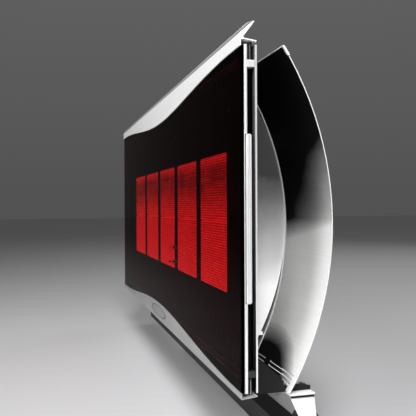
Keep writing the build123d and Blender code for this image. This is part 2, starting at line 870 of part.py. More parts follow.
# Service plate at the bottom of the shell, with the gas inlet and the cable gland halfway between its
# foot and the shell's lower edge
service_place = service_inset - panel_half
service_height = shell_bottom + service_rise
inlet_depth = (frame_back + frame_sheet + shell_edge - shell_sheet) / 2
gland_place = valve_place + gland_step
service_outline = [
    (frame_back, service_height),
    (frame_back, service_height - strap_foot),
    (frame_back + frame_sheet, service_height - strap_foot),
    (frame_back + frame_sheet, service_height - frame_sheet),
    (shell_crown, service_height - frame_sheet),
    (shell_crown, service_height),
]
service_low = service_height - frame_sheet
with BuildPart() as service_plate:
    folded_plate(service_outline, service_place, service_width)
    add(shell_inner, mode=Mode.INTERSECT)
    with BuildSketch(Plane.XY.offset(up(service_low))):
        with Locations((valve_place, back(inlet_depth))):
            Circle(port_r + running_gap)
        with Locations((gland_place, back(inlet_depth))):
            Circle(gland_bore_r + gland_wall)
    extrude(amount=frame_sheet, mode=Mode.SUBTRACT)
finish(service_plate, "service_plate")

nut_low = service_low - inlet_nut_high
thread_low = nut_low - inlet_thread_long
with BuildPart() as inlet_fitting:
    with BuildSketch(Plane.XY.offset(up(service_height))):
        with Locations((valve_place, back(inlet_depth))):
            Circle(collar_r)
    extrude(amount=collar_high)
    with BuildSketch(Plane.XY.offset(up(service_low))):
        with Locations((valve_place, back(inlet_depth))):
            Circle(port_r)
    extrude(amount=frame_sheet)
    with BuildSketch(Plane.XY.offset(up(nut_low))):
        with Locations((valve_place, back(inlet_depth))):
            RegularPolygon(inlet_nut_r, 6)
    extrude(amount=inlet_nut_high)
    with BuildSketch(Plane.XY.offset(up(thread_low))):
        with Locations((valve_place, back(inlet_depth))):
            Circle(inlet_thread_r)
    extrude(amount=inlet_thread_long)
    with BuildSketch(Plane.XY.offset(up(thread_low))):
        with Locations((valve_place, back(inlet_depth))):
            Circle(pipe_r - pipe_wall)
    extrude(amount=service_height + collar_high - thread_low, mode=Mode.SUBTRACT)
finish(inlet_fitting, "inlet_fitting")

with BuildPart() as cable_gland:
    with BuildSketch(Plane.XY.offset(up(service_low))):
        with Locations((gland_place, back(inlet_depth))):
            RegularPolygon(gland_r, 6)
    extrude(amount=-gland_high / 2)
    with BuildSketch(Plane.XY.offset(up(service_low - gland_high / 2))):
        with Locations((gland_place, back(inlet_depth))):
            Circle(gland_r - gland_wall)
    extrude(amount=-gland_high / 2, taper=gland_taper)
    with BuildSketch(Plane.XY.offset(up(service_low))):
        with Locations((gland_place, back(inlet_depth))):
            Circle(gland_bore_r)
    extrude(amount=-gland_high, mode=Mode.SUBTRACT)
finish(cable_gland, "cable_gland")

# Pipes from the inlet to the valve and from the valve to the manifold
pipe_foot = service_height + collar_high
with BuildPart() as inlet_pipe:
    with BuildLine():
        FilletPolyline(
            (valve_place, back(inlet_depth), up(pipe_foot)),
            (valve_place, back(inlet_depth), up(pipe_foot + pipe_rise)),
            (valve_place, back(port_depth), up(pipe_foot + pipe_rise + port_depth - inlet_depth)),
            (valve_place, back(port_depth), up(valve_low - port_high)),
            radius=pipe_bend,
        )
    with BuildSketch(Plane.XY.offset(up(pipe_foot))):
        with Locations((valve_place, back(inlet_depth))):
            Circle(pipe_r)
            Circle(pipe_r - pipe_wall, mode=Mode.SUBTRACT)
    sweep()
finish(inlet_pipe, "inlet_pipe")

with BuildPart() as feed_pipe:
    with BuildLine():
        FilletPolyline(
            (valve_face + port_high, back(port_depth), up(outlet_height)),
            (-feed_place, back(port_depth), up(outlet_height)),
            (-feed_place, back(venturi_depth), up(manifold_height)),
            (-manifold_end, back(venturi_depth), up(manifold_height)),
            radius=pipe_bend,
        )
    with BuildSketch(Plane.YZ.offset(valve_face + port_high)):
        with Locations((back(port_depth), up(outlet_height))):
            Circle(pipe_r)
            Circle(pipe_r - pipe_wall, mode=Mode.SUBTRACT)
    sweep()
finish(feed_pipe, "feed_pipe")

# Control case on the housing, with its cover
case_inside = (case_width - 2 * case_wall, case_high - 2 * case_wall)
with BuildPart() as control_case:
    with BuildSketch(Plane.XZ.offset(-back(frame_back))):
        with Locations((0, up(case_low + case_high / 2))):
            Rectangle(case_width, case_high)
            Rectangle(*case_inside, mode=Mode.SUBTRACT)
    extrude(amount=-(case_depth - frame_back))
    with BuildSketch(Plane.YZ.offset(-case_width / 2)):
        with Locations(housing_axis):
            ring(housing_radius + running_gap + case_wall, case_wall)
        with Locations((back(case_depth / 2), up(case_low + case_high / 2))):
            Rectangle(case_depth, case_high, mode=Mode.INTERSECT)
    extrude(amount=case_width)
    add(housing_outer, mode=Mode.SUBTRACT)
finish(control_case, "control_case")

with BuildPart() as control_cover:
    with BuildSketch(Plane.XZ.offset(-back(case_depth))):
        with Locations((0, up(case_low + case_high / 2))):
            RectangleRounded(case_width, case_high, cover_corner_r)
    extrude(amount=-cover_thick)
    chamfer(control_cover.faces().sort_by(Axis.Y)[-1].edges(), cover_bevel)
finish(control_cover, "control_cover")

# Spark igniter and flame sensor, between two of the windows
with BuildPart() as insulators:
    with BuildSketch(Plane.XZ.offset(-back(insulator_front))):
        with Locations([(igniter_place, up(z)) for z in igniter_heights]):
            Circle(insulator_r)
    extrude(amount=-insulator_long)
finish(insulators, "igniter_insulators")

with BuildPart() as electrodes:
    for z in igniter_heights:
        tip_depth = insulator_front - electrode_front
        with BuildLine():
            FilletPolyline(
                (igniter_place, back(insulator_front), up(z)),
                (igniter_place, back(tip_depth), up(z)),
                (igniter_place - electrode_reach, back(tip_depth), up(z)),
                radius=electrode_bend,
            )
        with BuildSketch(Plane.XZ.offset(-back(insulator_front))):
            with Locations((igniter_place, up(z))):
                Circle(electrode_r)
        sweep()
finish(electrodes, "electrode_wires")

# End brackets: gussets on the burner frame, with a tongue behind that the tilt lugs are bolted to
tongue_front = lug_front - tongue_margin
bracket_outline = [
    (frame_back, foot),
    (frame_back, foot + bracket_rise),
    (bracket_top_depth, foot + bracket_rise),
    (tongue_front, foot + bracket_knee),
    (tongue_front, foot + tongue_high),
    (lug_back, foot + tongue_high),
    (lug_back, foot),
]
bracket_foot_outline = [
    (frame_back, foot),
    (frame_back, foot + bracket_rise),
    (frame_back + bracket_sheet, foot + bracket_rise),
    (frame_back + bracket_sheet, foot + bracket_sheet),
    (lug_back, foot + bracket_sheet),
    (lug_back, foot),
]
lug_screw_depths = (lug_front + lug_back) / 2
lug_screw_place = bracket_place - bracket_foot + lug_screw_inset / 2
lug_screw_spots = [
    (way * lug_screw_place, back(lug_screw_depths + level * lug_screw_span / 2))
    for end, way in ends
    for level in (-1, 1)
]
for end, way in ends:
    with BuildPart() as end_bracket:
        folded_plate(bracket_outline, way * (bracket_place - bracket_sheet / 2), bracket_sheet)
        folded_plate(bracket_foot_outline, way * (bracket_place - bracket_foot / 2), bracket_foot)
        with BuildSketch(Plane.XY.offset(up(foot))):
            with Locations(lug_screw_spots):
                Circle(lug_screw_r + running_gap)
        extrude(amount=bracket_sheet, mode=Mode.SUBTRACT)
    finish(end_bracket, f"end_bracket_{end}")

# Tilt lugs: a flange under each tongue and a face that tapers down to the pivot
lug_outer = glass_half - lug_lip
lug_inner = lug_outer - lug_thick
pivot_height = foot - pivot_drop
pivot_spot = (back(pivot_depth), up(pivot_height))
for end, way in ends:
    with BuildPart() as tilt_lug:
        with BuildSketch(Plane.YZ.offset(way * lug_inner)):
            with BuildLine():
                Polyline(
                    (back(lug_front), up(foot)),
                    (back(lug_front), up(foot - lug_thick)),
                    (back(lug_back), up(foot - lug_thick)),
                    (back(lug_back), up(foot)),
                    close=True,
                )
            with Locations(pivot_spot):
                Circle(lug_end_r)
            make_hull()
        extrude(amount=way * lug_thick)
        with BuildSketch(Plane.XY.offset(up(foot))):
            with Locations((way * (glass_half - lug_flange / 2), back((lug_front + lug_back) / 2))):
                Rectangle(lug_flange, lug_back - lug_front)
            with Locations(lug_screw_spots):
                Circle(lug_screw_r + running_gap, mode=Mode.SUBTRACT)
        extrude(amount=-lug_thick)
        with BuildSketch(Plane.YZ.offset(way * lug_inner)):
            with Locations(pivot_spot):
                Circle(bolt_r + running_gap)
        extrude(amount=way * lug_thick, mode=Mode.SUBTRACT)
    finish(tilt_lug, f"tilt_lug_{end}")

with BuildPart() as lug_screws:
    with BuildSketch(Plane.XY.offset(up(foot - lug_thick))):
        with Locations(lug_screw_spots):
            RegularPolygon(lug_screw_hex, 6)
    extrude(amount=-lug_screw_high)
    with BuildSketch(Plane.XY.offset(up(foot - lug_thick))):
        with Locations(lug_screw_spots):
            Circle(lug_screw_r)
    extrude(amount=lug_thick + bracket_sheet + lug_screw_r)
finish(lug_screws, "lug_screws")

# Wall bracket: two ears on a cross beam, two arms and a wall plate with four holes
ear_outer = lug_inner - ear_gap
ear_inner = ear_outer - ear_thick
beam_back = pivot_depth + beam_deep / 2
beam_top = pivot_height - beam_drop
beam_bottom = beam_top - beam_high
beam_middle = (back(pivot_depth), up((beam_top + beam_bottom) / 2))
beam_size = (beam_deep, beam_high)
with BuildPart() as bracket_ears:
    for end, way in ends:
        with BuildSketch(Plane.YZ.offset(way * ear_inner)):
            with Locations(beam_middle):
                Rectangle(*beam_size)
            with Locations(pivot_spot):
                Circle(lug_end_r)
            make_hull()
            with Locations(pivot_spot):
                Circle(bolt_r + running_gap, mode=Mode.SUBTRACT)
        extrude(amount=way * ear_thick)
finish(bracket_ears, "bracket_ears")

with BuildPart() as cross_beam:
    with BuildSketch(Plane.YZ.offset(-ear_inner)):
        with Locations(beam_middle):
            Rectangle(*beam_size)
            Rectangle(beam_size[0] - 2 * beam_wall, beam_size[1] - 2 * beam_wall, mode=Mode.SUBTRACT)
    extrude(amount=2 * ear_inner)
finish(cross_beam, "cross_beam")

plate_front = wall_to_glass - plate_thick
with BuildPart() as wall_arms:
    arm_side = [
        (beam_back, beam_bottom),
        (beam_back, beam_top),
        (plate_front, beam_bottom + arm_rise),
        (plate_front, beam_bottom),
    ]
    for x in (-arm_place, arm_place):
        folded_plate(arm_side, x, arm_thick)
finish(wall_arms, "wall_arms")

with BuildPart() as wall_plate:
    with BuildSketch(Plane.XZ.offset(-back(plate_front))):
        RectangleRounded(plate_width, plate_height, plate_corner_r)
        with GridLocations(mount_span_x, mount_span_z, 2, 2):
            Circle(mount_hole_r, mode=Mode.SUBTRACT)
    extrude(amount=-plate_thick)
finish(wall_plate, "wall_plate")

# Pivot bolts through the lugs and ears, with a locking knob on each
knob_face = ear_inner - knob_gap
with BuildPart() as pivot_bolts:
    for end, way in ends:
        with BuildSketch(Plane.YZ.offset(way * (lug_outer + knob_gap))):
            with Locations(pivot_spot):
                RegularPolygon(bolt_head_r, 6)
        extrude(amount=way * bolt_head_high)
        with BuildSketch(Plane.YZ.offset(way * (lug_outer + knob_gap))):
            with Locations(pivot_spot):
                Circle(bolt_r)
        extrude(amount=-way * (lug_outer + 2 * knob_gap - knob_face + knob_high))
finish(pivot_bolts, "pivot_bolts")

for end, way in ends:
    with BuildPart() as tilt_knob:
        with BuildSketch(Plane.YZ.offset(way * knob_face)):
            with Locations(pivot_spot):
                Circle(knob_r)
                with PolarLocations(knob_r + knob_scallop_r / 2, knob_lobes):
                    Circle(knob_scallop_r, mode=Mode.SUBTRACT)
                Circle(bolt_r + running_gap, mode=Mode.SUBTRACT)
        extrude(amount=-way * knob_high)
    finish(tilt_knob, f"tilt_knob_{end}")
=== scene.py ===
"""Looks of a wall-mounted gas radiant patio heater, built around its fixed frame.

Lengths are in metres. X runs along the heater, Y points into the wall and Z is up; the glass faces -Y.
"""

import functools
import json
import math

import bmesh
import bpy
from mathutils import Matrix, Vector


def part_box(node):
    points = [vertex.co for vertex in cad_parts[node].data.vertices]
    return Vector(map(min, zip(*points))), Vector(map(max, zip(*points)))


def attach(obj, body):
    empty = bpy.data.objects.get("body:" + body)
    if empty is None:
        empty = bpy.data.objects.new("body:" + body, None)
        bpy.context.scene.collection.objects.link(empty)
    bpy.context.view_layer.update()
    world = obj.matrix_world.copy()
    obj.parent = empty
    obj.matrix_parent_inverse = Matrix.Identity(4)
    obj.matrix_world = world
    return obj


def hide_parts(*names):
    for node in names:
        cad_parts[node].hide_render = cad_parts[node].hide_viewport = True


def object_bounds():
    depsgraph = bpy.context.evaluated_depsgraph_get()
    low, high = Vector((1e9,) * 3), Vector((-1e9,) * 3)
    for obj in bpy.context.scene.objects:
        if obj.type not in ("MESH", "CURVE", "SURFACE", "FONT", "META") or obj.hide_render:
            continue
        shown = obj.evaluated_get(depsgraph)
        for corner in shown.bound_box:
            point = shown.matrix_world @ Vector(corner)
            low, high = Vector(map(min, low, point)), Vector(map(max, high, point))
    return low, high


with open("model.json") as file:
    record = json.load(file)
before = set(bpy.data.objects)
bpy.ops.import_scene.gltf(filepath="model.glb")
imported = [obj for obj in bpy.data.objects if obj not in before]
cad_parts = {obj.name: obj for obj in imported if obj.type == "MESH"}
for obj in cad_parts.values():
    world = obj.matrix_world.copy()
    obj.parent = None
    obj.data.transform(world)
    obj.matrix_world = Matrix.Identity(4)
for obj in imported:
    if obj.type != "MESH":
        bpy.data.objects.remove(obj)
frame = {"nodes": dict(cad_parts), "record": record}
cad_box = [list(corner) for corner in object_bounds()]
scene = bpy.context.scene
nodes = frame["nodes"]
glass_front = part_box("glass_panel")[0].y
panel_middle = 0.5 * (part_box("glass_panel")[0].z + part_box("glass_panel")[1].z)

# View: the photograph's camera, at one end of the heater, level with the middle of its panel
camera_place = (1.1461, -0.3905, 0.2315)
camera_yaw = 15.452
camera_pitch = -0.3
camera_roll = -0.22
photo_width = 416
focal_pixels = 600.0
sensor_width = 36.0
nearest_seen = 0.01

# Stage
floor_gap = 0.012
floor_reach = 14.0
room_grey_low = 0.085
room_grey_high = 0.13
room_fade_top = 0.5

# Lamps: place, aim, side of the square, power in watts and the spread of the grid in degrees
lamps = {
    "front_softbox": ((1.5, -2.2, 1.5), (0.35, -0.1, 0.35), 1.5, 20, 95),
    "right_softbox": ((2.0, -0.62, 2.0), (0.5, -0.1, 0.25), 0.9, 17, 80),
    "rear_softbox": ((-1.6, 2.6, 2.4), (-0.6, 0.4, -0.1), 2.0, 13, 130),
}

# Outer shell, as it is in the fixed frame; heights are from the panel's middle
shell_crown = 0.1147
shell_edge = 0.0595
shell_centre = -0.0065
shell_sheet = 0.0012
shell_top = 0.2005
shell_bottom = -0.203
shell_end = 0.5

# Trims, rails and lugs, as they are in the fixed frame
wing_rise = 0.0145
wing_foot = -0.0012
wing_top = 0.015
rail_web = 0.003

# Marks in the finish: the bare oval on the bottom trim, painted shade on the shell and a painted shadow
# under the lugs' lips
oval_half_length = 0.072
oval_half_height = 0.0105
oval_height = 0.0165
pocket_deep = 0.10
pocket_height = -0.205
pocket_half_length = 0.07
pocket_half_height = 0.048
lug_lip = 0.0013
lug_shadow = 0.0065
soft_edge = 0.0008

# Burner plaques
hole_pitch = 0.0036
column_pitch = 1.155 * hole_pitch

# Long screws of the trims: dome, shank and thread
dome_high = 0.002
shank_radius = 0.002
screw_recess = 0.0012
thread_pitch = 0.0008
thread_depth = 0.00035

# Bead and clips on the shell's top edge
bead_radius = 0.0008
bead_inset = 0.0004
bead_sides = 12
clip_height = 0.011
clip_width = 0.0018
clip_sheet = 0.0008
clip_steps = 8

# Colours, as linear red, green and blue
# Black of the painted shade on the shell's inner side
shade_black = (0.012, 0.012, 0.012)
dull_red = (0.03, 0.0012, 0.0014)
bright_red = (1.0, 0.045, 0.055)

# Grain: how quickly brushing or rolling marks change along X, Y and Z
along = (6.0, 900.0, 900.0)
upright = (900.0, 900.0, 7.0)
turned = (80.0, 700.0, 700.0)
fine_grain = (500.0, 500.0, 500.0)
coarse_grain = (60.0, 60.0, 60.0)
sharp_angle = 35


def add_camera():
    """Puts the camera where the photograph was taken from."""
    yaw, pitch, roll = (math.radians(turn) for turn in (camera_yaw, camera_pitch, camera_roll))
    level_ahead = Vector((-math.cos(yaw), math.sin(yaw), 0))
    ahead = level_ahead * math.cos(pitch) + Vector((0, 0, math.sin(pitch)))
    right = ahead.cross(Vector((0, 0, 1))).normalized()
    above = right.cross(ahead)
    tilted_right = right * math.cos(roll) + above * math.sin(roll)
    tilted_above = above * math.cos(roll) - right * math.sin(roll)
    data = bpy.data.cameras.new("photo_camera")
    data.sensor_width = sensor_width
    data.lens = focal_pixels / photo_width * sensor_width
    data.clip_start = nearest_seen
    camera = bpy.data.objects.new("photo_camera", data)
    turn = Matrix((tilted_right, tilted_above, -ahead)).transposed()
    camera.matrix_world = Matrix.Translation(camera_place) @ turn.to_4x4()
    scene.collection.objects.link(camera)
    scene.camera = camera


class Graph:
    """A material's nodes: each method adds one kind of node and returns its output."""

    def __init__(self, name):
        self.material = bpy.data.materials.new(name)
        self.material.use_nodes = True
        self.tree = self.material.node_tree
        self.shader = self.tree.nodes["Principled BSDF"]
        self.place = self.tree.nodes.new("ShaderNodeTexCoord").outputs["Object"]

    def set(self, **values):
        """Sets sockets of the main shader to constants, or links them to other nodes."""
        for key, value in values.items():
            self.put(self.shader.inputs[key.replace("_", " ")], value)

    def put(self, socket, value):
        """Links a socket to another node, or sets it to a number or a colour."""
        if isinstance(value, bpy.types.NodeSocket):
            self.tree.links.new(value, socket)
        elif isinstance(value, tuple) and len(value) == 3 and len(socket.default_value) == 4:
            socket.default_value = (*value, 1.0)
        else:
            socket.default_value = value

    def source(self, key):
        """The output that feeds one socket of the main shader."""
        return self.shader.inputs[key].links[0].from_socket

    def math(self, operation, first, second=0.0):
        node = self.tree.nodes.new("ShaderNodeMath")
        node.operation = operation
        self.put(node.inputs[0], first)
        self.put(node.inputs[1], second)
        return node.outputs[0]

    def plus(self, *values):
        return functools.reduce(functools.partial(self.math, "ADD"), values)

    def times(self, *values):
        return functools.reduce(functools.partial(self.math, "MULTIPLY"), values)

    def minus(self, first, second):
        return self.math("SUBTRACT", first, second)

    def span(self, value, low, high, to_low=0.0, to_high=1.0):
        """Turns one range of a value into another, and holds it beyond its ends."""
        node = self.tree.nodes.new("ShaderNodeMapRange")
        node.clamp = True
        keys = ("Value", "From Min", "From Max", "To Min", "To Max")
        for key, number in zip(keys, (value, low, high, to_low, to_high)):
            self.put(node.inputs[key], number)
        return node.outputs[0]

    def oval(self, first, second, middle, halves):
        """How far a place is from an oval's middle, 1 being its outline."""
        shares = [
            self.times(self.minus(value, spot), 1 / half)
            for value, spot, half in zip((first, second), middle, halves)
        ]
        return self.math("SQRT", self.plus(*(self.times(share, share) for share in shares)))

    def mix(self, share, first, second):
        """Goes from one colour to another."""
        node = self.tree.nodes.new("ShaderNodeMix")
        node.data_type = "RGBA"
        self.put(node.inputs["Factor"], share)
        self.put(node.inputs[6], first)
        self.put(node.inputs[7], second)
        return node.outputs[2]

    def mix_value(self, share, first, second):
        """Goes from one number to another."""
        node = self.tree.nodes.new("ShaderNodeMix")
        node.data_type = "FLOAT"
        self.put(node.inputs["Factor"], share)
        self.put(node.inputs[2], first)
        self.put(node.inputs[3], second)
        return node.outputs[0]

    def split(self, vector):
        node = self.tree.nodes.new("ShaderNodeSeparateXYZ")
        self.put(node.inputs[0], vector)
        return node.outputs

    def axes(self):
        """The place on the object, along X, Y and Z."""
        return self.split(self.place)

    def facing(self):
        """The way that the surface faces, along X, Y and Z."""
        return self.split(self.tree.nodes.new("ShaderNodeTexCoord").outputs["Normal"])

    def front_side(self):
        """1 on faces that look towards -Y, 0 on the others."""
        return self.span(self.facing()["Y"], -0.25, -0.05, 1.0, 0.0)

    def end_side(self):
        """1 on faces that look along X, 0 on the others."""
        return self.span(self.math("ABSOLUTE", self.facing()["X"]), 0.4, 0.6)

    def noise(self, scale, stretch=None, detail=2.0, roughness=0.5):
        """Cloudy noise, which may change faster along one axis than along another."""
        node = self.tree.nodes.new("ShaderNodeTexNoise")
        place = self.place
        if stretch:
            mapping = self.tree.nodes.new("ShaderNodeMapping")
            self.put(mapping.inputs["Vector"], place)
            mapping.inputs["Scale"].default_value = stretch
            place = mapping.outputs[0]
        self.put(node.inputs["Vector"], place)
        node.inputs["Scale"].default_value = scale
        node.inputs["Detail"].default_value = detail
        node.inputs["Roughness"].default_value = roughness
        return node.outputs["Fac"]

    def ragged(self, amount, scale, stretch):
        """A cloudy unevenness about zero, for the edges of stains."""
        cloud = self.noise(scale, stretch=stretch, detail=5.0, roughness=0.6)
        return self.times(self.minus(cloud, 0.5), amount)

    def bump(self, height, distance, rounding=0.0):
        """Raises the surface by a pattern, over edges that look rounded by a small radius."""
        node = self.tree.nodes.new("ShaderNodeBump")
        node.inputs["Strength"].default_value = 1.0
        node.inputs["Distance"].default_value = distance
        self.put(node.inputs["Height"], height)
        if rounding:
            edge = self.tree.nodes.new("ShaderNodeBevel")
            edge.samples = 4
            edge.inputs["Radius"].default_value = rounding
            self.put(node.inputs["Normal"], edge.outputs[0])
        self.put(self.shader.inputs["Normal"], node.outputs[0])


def grey(level):
    """A neutral grey."""
    return (level, level, level)


def brushed_metal(name, light, dark, roughness, stretch, grain=1.0, blotch=0.3, metallic=1.0):
    """Metal with fine brushing along one axis, soft stains and slightly uneven gloss."""
    graph = Graph(name)
    lines = graph.noise(1.0, stretch=stretch, detail=3.0, roughness=0.65)
    stains = graph.noise(9.0, detail=4.0)
    shade = graph.plus(graph.times(lines, 1 - blotch), graph.times(stains, blotch))
    graph.set(
        Base_Color=graph.mix(graph.span(shade, 0.35, 0.65), dark, light),
        Metallic=metallic,
        Roughness=graph.span(shade, 0.3, 0.7, roughness * 1.25, roughness * 0.8),
    )
    graph.bump(lines, 0.00004 * grain, rounding=0.0005)
    return graph


def paint_shade_on_metal(graph, mask, tint, dulled):
    """Darkens a metal where the mask is 1 with painted shade."""
    metal = graph.shader.inputs["Metallic"].default_value
    graph.set(
        Base_Color=graph.mix(mask, graph.source("Base Color"), tint),
        Roughness=graph.mix_value(mask, graph.source("Roughness"), dulled),
        Metallic=graph.mix_value(mask, metal, 1.0),
    )
    return graph


def shell_with_painted_shade():
    """Satin stainless whose inner side carries painted shade: black at the top and in its lower corners."""
    graph = brushed_metal(
        "bowed_stainless", (0.95, 0.95, 0.94), (0.88, 0.88, 0.875), 0.45, along, metallic=0.4
    )
    low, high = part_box("outer_shell")
    deep = graph.minus(high.x, graph.math("ABSOLUTE", graph.axes()["X"]))
    height = graph.minus(graph.axes()["Z"], 0.5 * (low.z + high.z))
    ragged = graph.ragged(0.045, 16.0, (0.6, 1.0, 1.6))
    start = graph.plus(
        graph.span(height, 0.15, 0.08, -0.10, 0.0),
        graph.span(height, 0.10, 0.0, -0.088, 0.003),
        graph.span(height, 0.0, -0.10, 0.0, 0.55),
    )
    # Painted shade over the top of the inner side, with a ragged edge
    top = graph.span(graph.minus(graph.plus(deep, ragged), start), -0.045, 0.120)
    middle = (pocket_deep, pocket_height)
    # Painted shade in a pocket in the lower corners
    radius = graph.oval(deep, height, middle, (pocket_half_length, pocket_half_height))
    corner_shade = graph.span(graph.plus(radius, graph.times(ragged, 7.0)), 1.35, 0.80)
    # The painted shade goes only on the faces that look to the front
    inside = graph.times(graph.math("MAXIMUM", top, corner_shade), graph.front_side())
    return paint_shade_on_metal(graph, inside, shade_black, 0.7)


def cap_with_painted_shade():
    """Satin steel end cap with painted shade, grey darkening towards its top."""
    graph = brushed_metal(
        "cap_steel", (0.95, 0.95, 0.94), (0.82, 0.82, 0.815), 0.38, along, metallic=0.4
    )
    low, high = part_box("end_cap_right")
    rise = graph.span(graph.axes()["Z"], low.z, high.z)
    ragged = graph.ragged(0.16, 22.0, (1.0, 0.5, 1.0))
    # Painted shade, darkest at the top of the cap
    cap_shade = graph.span(graph.plus(rise, ragged), 0.20, 0.70, 0.0, 0.95)
    return paint_shade_on_metal(graph, cap_shade, grey(0.035), 0.5)


def trim_with_oval():
    """Grey satin trim with a bare oval place pressed into the middle of its band; the groove round it is
    painted near black as shade.
    """
    graph = brushed_metal(
        "grey_stainless", (0.46, 0.46, 0.455), (0.34, 0.34, 0.335), 0.40, along, metallic=0.45
    )
    middle = (0.0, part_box("bottom_trim")[0].z + oval_height)
    halves = (oval_half_length, oval_half_height)
    radius = graph.oval(graph.axes()["X"], graph.axes()["Z"], middle, halves)
    ring = graph.math("ABSOLUTE", graph.minus(radius, 0.93))
    # The groove's near-black ring is painted shade in the recess
    groove = graph.span(ring, 0.03, 0.07, 1.0, 0.0)
    inside = graph.span(radius, 0.90, 0.97, 0.5, 0.0)
    pressed = graph.mix(inside, graph.source("Base Color"), grey(0.26))
    graph.set(Base_Color=graph.mix(groove, pressed, grey(0.03)))
    graph.bump(graph.times(groove, -1.0), 0.0004, rounding=0.0005)
    return graph


def folded_trim():
    """Pale satin trim whose swelling wing carries painted shade, grey and darkest along its two edges."""
    graph = brushed_metal(
        "folded_stainless", (0.86, 0.86, 0.85), (0.78, 0.78, 0.775), 0.5, along, metallic=0.1
    )
    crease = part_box("top_trim")[1].z - wing_rise
    slant = math.hypot(wing_top - wing_foot, wing_rise)
    up = graph.times(graph.minus(graph.axes()["Z"], crease), (wing_top - wing_foot) / slant)
    back = graph.times(graph.minus(graph.axes()["Y"], glass_front + wing_foot), wing_rise / slant)
    swell = graph.minus(up, back)
    # Painted shade across the wing, a grey that grows lighter as the wing swells out
    shade = graph.mix(graph.span(swell, 0.0006, 0.0034), grey(0.09), grey(0.34))
    above = graph.span(graph.axes()["Z"], crease, crease + soft_edge)
    wing = graph.times(graph.span(swell, 0.0003, 0.0007), above)
    graph.set(Base_Color=graph.mix(wing, graph.source("Base Color"), shade))
    return graph


def bridge_metal():
    """Bright bridges between the rails, the lower ones darkened with painted shade."""
    graph = brushed_metal("bridge_metal", grey(0.93), grey(0.80), 0.3, coarse_grain, metallic=0.5)
    # Painted shade over the bridges below the panel's middle
    lower = graph.span(graph.axes()["Z"], panel_middle, panel_middle + 0.01, 0.95, 0.0)
    return paint_shade_on_metal(graph, lower, grey(0.03), 0.4)


def lug_steel():
    """Pale satin lug with a painted shadow, a dark line just under its folded lip."""
    graph = brushed_metal(
        "lug_stainless", (0.93, 0.93, 0.92), (0.84, 0.84, 0.835), 0.42, along, metallic=0.25
    )
    drop = graph.minus(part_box("tilt_lug_right")[1].z, graph.axes()["Z"])
    below_lip = graph.span(drop, lug_lip, lug_lip + soft_edge)
    fading = graph.span(drop, lug_shadow, lug_shadow - 0.002)
    # Painted shadow on the end faces just under the lip, fading downwards
    return paint_shade_on_metal(graph, graph.times(below_lip, fading, graph.end_side()), grey(0.01), 0.7)


def channel_rail():
    """Bright drawn aluminium with painted shade: black at the bottom of its channel and dim on the rear
    wall of it, darkest low down.
    """
    graph = brushed_metal(
        "bright_aluminium", (0.97, 0.97, 0.98), (0.92, 0.92, 0.93), 0.26, upright, grain=0.5, metallic=0.5
    )
    low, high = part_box("side_rail_right")
    web = low.x + rail_web
    out = graph.math("ABSOLUTE", graph.axes()["X"])
    # Painted shade: black at the bottom of the channel
    black = graph.span(out, web + 0.0004, web + 0.0010, 1.0, 0.0)
    # Painted shade on the channel's rear wall, near black at the bottom and grey at the top
    dim = graph.mix(graph.span(graph.axes()["Z"], low.z, high.z), grey(0.008), grey(0.22))
    middle = (low.y + high.y) / 2
    rear = graph.times(graph.span(graph.axes()["Y"], middle, middle + 0.001), graph.front_side())
    wall = graph.mix(rear, graph.source("Base Color"), dim)
    graph.set(
        Base_Color=graph.mix(black, wall, (0.008, 0.008, 0.009)),
        Metallic=graph.span(black, 0.0, 1.0, 0.55, 1.0),
    )
    return graph


def painted(name, colour, roughness, speckle=0.15):
    """Powder coat or moulded plastic: faint orange peel and a dusty, slightly worn shade."""
    graph = Graph(name)
    dust = graph.noise(14.0, detail=5.0)
    light = tuple(min(1.0, part * (1 + 2 * speckle) + 0.01 * speckle) for part in colour)
    graph.set(
        Base_Color=graph.mix(graph.span(dust, 0.35, 0.7), colour, light),
        Metallic=0.0,
        Roughness=graph.span(dust, 0.3, 0.7, roughness, roughness * 1.3),
        Specular_IOR_Level=0.2,
    )
    graph.bump(graph.noise(900.0), 0.00003, rounding=0.0006)
    return graph


def dark_glass():
    """Smoked glass ceramic: almost black, mirror smooth, letting the red glow through."""
    graph = Graph("smoked_glass")
    haze = graph.noise(4.0, detail=4.0)
    graph.set(
        Base_Color=(0.28, 0.08, 0.08),
        Roughness=graph.span(haze, 0.3, 0.8, 0.0, 0.03),
        Transmission_Weight=1.0,
        IOR=1.035,
    )
    return graph


def plaque_holes(graph):
    """1 between the holes of the plaques and 0 in them; the holes stand in staggered rows."""
    row = graph.times(graph.axes()["Z"], 1 / hole_pitch)
    odd_row = graph.times(graph.math("MODULO", graph.math("FLOOR", row), 2.0), 0.5)
    column = graph.plus(graph.times(graph.axes()["X"], 1 / column_pitch), odd_row)
    across, up = (graph.math("COSINE", graph.times(count, 2 * math.pi)) for count in (column, row))
    return graph.span(graph.minus(across, graph.times(up, 1.2)), -1.8, 1.6)


